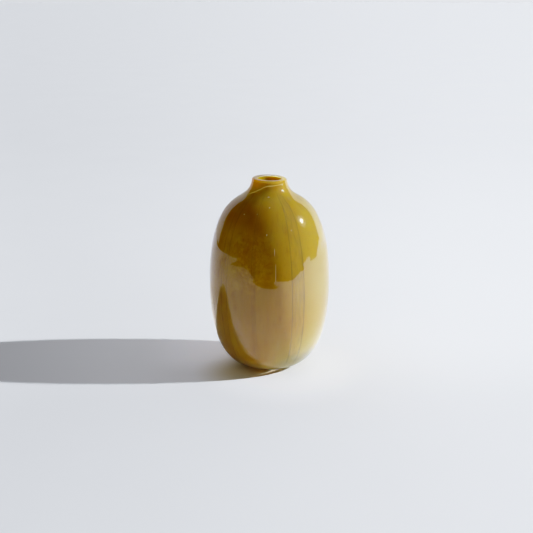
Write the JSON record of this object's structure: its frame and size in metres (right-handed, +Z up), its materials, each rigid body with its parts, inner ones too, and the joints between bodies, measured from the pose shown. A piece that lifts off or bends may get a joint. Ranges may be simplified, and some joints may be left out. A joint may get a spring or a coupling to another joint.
{
  "type": "bud vase",
  "caption": "Small blown glass bud vase: full egg-shaped body, amber core under clear casing, short neck, narrow mouth for a single stem, flat foot.",
  "frame": {"origin": "centre of the flat foot, in the plane that the vase stands on", "axes": "+Z up along the vase's axis, out of the mouth; -Y towards the front; +X to the right seen from the front"},
  "size_m": [0.1, 0.1, 0.16],
  "materials": {
    "amber_glass": "translucent amber-olive, smooth",
    "clear_glass": "clear, fire-polished",
    "grey_glass": "grey-brown streak, smooth"
  },
  "bodies": {
    "root": {"amber_core": "amber_glass", "clear_casing": "clear_glass", "grey_streaks": "grey_glass"}
  },
  "joints": []
}
